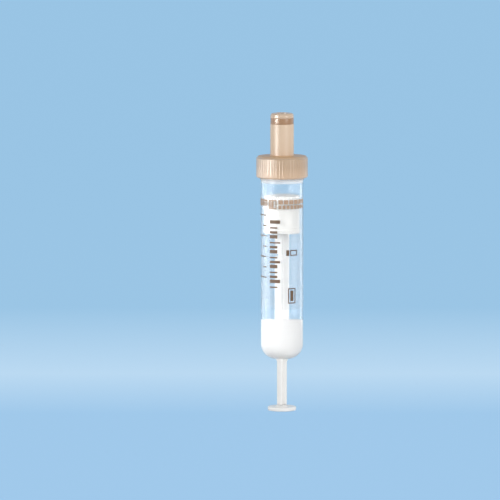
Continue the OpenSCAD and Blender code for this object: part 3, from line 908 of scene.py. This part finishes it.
class BuildPlunger(bpy.types.Operator):
    """Builds the piston, the ribbed rod with its thumb plate, and the granulate"""

    bl_idname = "blood_tube.plunger"
    bl_label = "Plunger"

    def execute(self, context):
        s = context.scene.blood_tube_sizes
        colours = context.scene.blood_tube_colours
        low, high = PISTON_LOW[2] / MM, PISTON_HIGH[2] / MM
        # Radii of the piston's socket, its sleeve, the inside of its skirt, its waist and its lips.
        socket, sleeve, skirt, waist, lip = 2.25, 3.35, 5.2, 6.3, 6.55
        depth, crown, lip_h = 4, 1.6, 1.3
        piston = lathe("piston_body", rounded([
            (0, low + depth, 0), (socket, low + depth, 0.1), (socket, low, 0.15),
            (sleeve, low, 0.2), (sleeve, high - crown, 0.3), (skirt, high - crown, 0.3),
            (skirt, low, 0.2), (lip, low, 0.3), (lip, low + lip_h, 0.2), (waist, low + crown, 0.15),
            (waist, high - crown, 0.15), (lip, high - lip_h, 0.2), (lip, high, 0.3),
            (0, high, 0)]), 128)
        finish_piece(piston, white_polyethylene(colours.white_plastic), "plunger", "piston",
                     "piston")

        # How far the ribs reach below the base, above it and at the break-off notch.
        thin, thick, notch = 1.725, 2.55, 1.2
        levels = [(0.7, thin), (17.2, thin), (19.0, thick), (54.7, thick), (54.95, notch),
                  (55.45, notch), (55.7, thick), (low, thick)]
        rod = cross_prism("rod_and_plate", [(z * MM, r * MM) for z, r in levels], s.rib)
        near, half = 0.02 * MM, s.rib / 2
        bevel_uprights(rod, lambda c: abs(abs(c.x) - half) < near and abs(abs(c.y) - half) < near,
                       0.22 * MM, 3)
        bevel_uprights(rod, lambda c: max(abs(c.x), abs(c.y)) > (notch - 0.05) * MM
                       and abs(min(abs(c.x), abs(c.y)) - half) < near, 0.15 * MM, 3)
        turn(s.rib_turn)
        head_r, tip_r, chamfer = 2.2, 1.7, 0.5
        head = lathe("rod_head", rounded([
            (0, low - chamfer, 0), (tip_r, low - chamfer, 0), (head_r, low, 0.15),
            (head_r, low + depth - chamfer, 0.15), (tip_r, low + depth, 0.1),
            (0, low + depth, 0)], steps=3), 48)
        plate_r, boss_foot, boss = 5, 2.33, 1.73
        plate_t, boss_top = 1.25, 1.9
        plate = lathe("thumb_plate", rounded([
            (0, 0, 0), (plate_r, 0, 0.15), (plate_r, plate_t, 0.3), (boss_foot, plate_t, 0.5),
            (boss, boss_top, 0.3), (0, boss_top, 0)]), 96)
        rod = join("rod_and_plate", rod, head, plate)
        finish_piece(rod, milky_polystyrene(colours.rod), "plunger", "rod", "plunger_rod")

        seed = random.Random(7)
        bead = s.bead / 2
        reach = (s.barrel_radius - s.wall) - 0.2 * MM - bead
        # A solid core fills the heap, so that no light comes through between its beads.
        core_top, heap_top, heap_fall = high + 3.4, (high + 3.85) * MM, 0.5 * MM
        core = lathe("bead_charge", rounded([
            (0, high + 0.02, 0), (5.9, high + 0.02, 0.1), (6.0, core_top - 0.5, 0.3),
            (0, core_top, 0)], steps=3), 48)
        deselect()
        bpy.ops.mesh.primitive_uv_sphere_add(segments=8, ring_count=5, radius=bead)
        pattern = context.object
        beads = []
        spacing, layer_step = s.bead * 1.03, s.bead * 0.78
        layer, z, limit = 0, high * MM + bead, high * MM + 3.8 * MM - bead
        while z < limit:
            for k in (5, 4, 3, 2, 1) if layer > 1 else (5, 4):
                radius = reach * k / 5
                heap = heap_top - heap_fall * (radius / reach) ** 2
                if z + bead > heap + 0.1 * MM:
                    continue
                count = max(1, int(math.tau * radius / spacing))
                first = seed.uniform(0, math.tau)
                for i in range(count):
                    a = first + math.tau * i / count
                    copy = pattern.copy()
                    copy.data = pattern.data.copy()
                    context.collection.objects.link(copy)
                    copy.scale = [seed.uniform(0.88, 1.0)] * 3
                    copy.location = (radius * math.cos(a), radius * math.sin(a),
                                     z + seed.uniform(-0.04, 0.04) * MM)
                    copy.rotation_euler = (seed.uniform(0, 3), seed.uniform(0, 3), 0)
                    beads.append(copy)
            layer += 1
            z += layer_step
        bpy.data.objects.remove(pattern)
        core = join("bead_charge", core, *beads)
        finish_piece(core, bead_granulate(colours.granulate), "plunger", "granulate",
                     "granulate", angle=60)
        return {"FINISHED"}


class BuildCap(bpy.types.Operator):
    """Builds the ribbed screw cap with its nipple, plug seal and inside thread"""

    bl_idname = "blood_tube.cap"
    bl_label = "Screw cap"

    def execute(self, context):
        s = context.scene.blood_tube_sizes
        radius, nipple = s.cap_radius / MM, s.nipple_radius / MM
        low, top, rim = CAP_LOW[2] / MM, CAP_HIGH[2] / MM, s.rim_z / MM
        wall, shoulder = 1, 0.7
        roof, bore = rim + 2.1, radius - wall
        grooves_end, thread_end = roof - shoulder, 86
        outline = [(bore, low)] + rounded([
            (bore, low, 0), (radius - 0.5, low, 0.15), (radius, low + 0.5, 0.15),
            (radius, grooves_end, 0)], steps=2)[1:-1]
        # The grooves fade out over the upper three of these rings.
        rings = [84.5, 86.0, 87.5] + [grooves_end - down for down in (0.5, 0.35, 0.2)]
        outline += [(radius, z) for z in rings]
        # The plug seal's inner and outer radius, and the foot of its taper.
        seal_in, seal_out, seal_foot, seal_low = 5.6, 6.5, 6.3, rim - 1.8
        outline += rounded([
            (radius, rings[-1], 0), (radius, grooves_end, 0.1), (radius - shoulder, roof, 0.25),
            (nipple, roof, 0.4), (nipple, top, 0.12), (nipple - wall, top, 0.12),
            (nipple - wall, rim, 0.15), (seal_in, rim, 0.15), (seal_in, seal_low, 0.15),
            (seal_foot, seal_low, 0.3), (seal_out, seal_low + 0.4, 0.1), (seal_out, rim, 0.2),
            (bore, rim, 0.3), (bore, thread_end, 0)], steps=4)[1:]
        outline += [(bore, z) for z in reversed(stretch(low, thread_end, 0.15))]
        outline.append(outline[0])
        cap = lathe("ribbed_cap", outline, s.groove_count * 12)
        groove = 0.25 * MM
        centre = s.cap_radius + groove - s.groove_depth
        pitch = math.tau / s.groove_count
        end = grooves_end * MM
        thread_z, thread_turns = (low + 0.75) * MM, 1

        def relief(r, a, z):
            """Grip grooves outside, fading out below the shoulder, and the thread inside."""
            if r > (bore + 0.3) * MM and z < end:
                across = centre * math.sin((a + pitch / 2) % pitch - pitch / 2)
                if abs(across) < groove:
                    bottom = centre - math.sqrt(groove * groove - across * across)
                    fade = min(1, (end - z) / (0.4 * MM))
                    return min(0, bottom - r) * fade
            if abs(r - bore * MM) < 0.02 * MM and z < (thread_end + 0.1) * MM:
                return -s.thread_depth * ridge(a, z, thread_z, thread_turns, s.thread_pitch)
            return 0

        push_out(cap, relief)
        finish_piece(cap, beige_polyethylene(context.scene.blood_tube_colours.cap, roof * MM),
                     "cap", "cap", "screw_cap", angle=40)
        return {"FINISHED"}


class BuildNeedleEnd(bpy.types.Operator):
    """Builds the rubber membrane and the ring that holds it on the nipple's end"""

    bl_idname = "blood_tube.needle_end"
    bl_label = "Membrane and end ring"

    def execute(self, context):
        colours = context.scene.blood_tube_colours
        # Radii of the needle's opening, of the spigot in the nipple and of the outside.
        opening, spigot, outside = 2.2, 3.1, 4.1
        low, high = MEMBRANE_LOW[2] / MM, MEMBRANE_HIGH[2] / MM
        spigot_top, dimple = low + 1.6, 0.4
        membrane = lathe("rubber_membrane", rounded([
            (0, low + dimple, 0), (opening, low, 0.3), (spigot, low, 0.2),
            (spigot, spigot_top, 0.05), (outside, spigot_top, 0.15), (outside, high, 0.15),
            (opening, high, 0.2), (0, high - dimple, 0)]), 96)
        finish_piece(membrane, butyl_rubber(colours.membrane), "cap_core", "membrane", "membrane")
        low, high = RING_LOW[2] / MM, RING_HIGH[2] / MM
        foot, round_w, steps = low + 0.6, 0.8, 10
        ring_outline = rounded([
            (outside - round_w, high, 0), (opening, high, 0.2), (opening, low, 0.1),
            (outside, low, 0.08), (outside, foot, 0)], steps=3)
        for i in range(1, steps):
            a = math.pi / 2 * i / steps
            ring_outline.append((outside - round_w * (1 - math.cos(a)),
                                 foot + (high - foot) * math.sin(a)))
        ring_outline.append(ring_outline[0])
        ring = lathe("nipple_ring", ring_outline, 96)
        finish_piece(ring, pale_polyethylene(colours.end_ring), "cap_core", "end_ring", "end_ring")
        return {"FINISHED"}


class BloodTubePanel(bpy.types.Panel):
    """Lists the pieces of the tube with their sizes and colours"""

    bl_idname = "VIEW3D_PT_blood_tube"
    bl_label = "Blood collection tube"
    bl_space_type = "VIEW_3D"
    bl_region_type = "UI"
    bl_category = "Blood tube"

    def draw(self, context):
        layout = self.layout
        for operator in OPERATORS:
            layout.operator(operator.bl_idname)
        for group in (context.scene.blood_tube_sizes, context.scene.blood_tube_print,
                      context.scene.blood_tube_colours):
            box = layout.box()
            for name in group.__annotations__:
                box.prop(group, name)


OPERATORS = (BuildStage, BuildBarrel, BuildGel, BuildLabel, BuildPlunger, BuildCap, BuildNeedleEnd)
GROUPS = {"blood_tube_sizes": BloodTubeSizes, "blood_tube_print": BloodTubePrint,
          "blood_tube_colours": BloodTubeColours}


def register():
    """Registers the settings, operators and panel."""
    for name, group in GROUPS.items():
        bpy.utils.register_class(group)
        setattr(bpy.types.Scene, name, PointerProperty(type=group))
    for kind in (*OPERATORS, BloodTubePanel):
        bpy.utils.register_class(kind)


def unregister():
    """Takes them all out again."""
    for kind in (BloodTubePanel, *reversed(OPERATORS)):
        bpy.utils.unregister_class(kind)
    for name, group in GROUPS.items():
        delattr(bpy.types.Scene, name)
        bpy.utils.unregister_class(group)


def main():
    """Builds the whole tube."""
    register()
    bpy.ops.blood_tube.stage()
    bpy.ops.blood_tube.barrel()
    bpy.ops.blood_tube.gel()
    bpy.ops.blood_tube.label()
    bpy.ops.blood_tube.plunger()
    bpy.ops.blood_tube.cap()
    bpy.ops.blood_tube.needle_end()
    deselect()


if __name__ == "__main__":
    main()
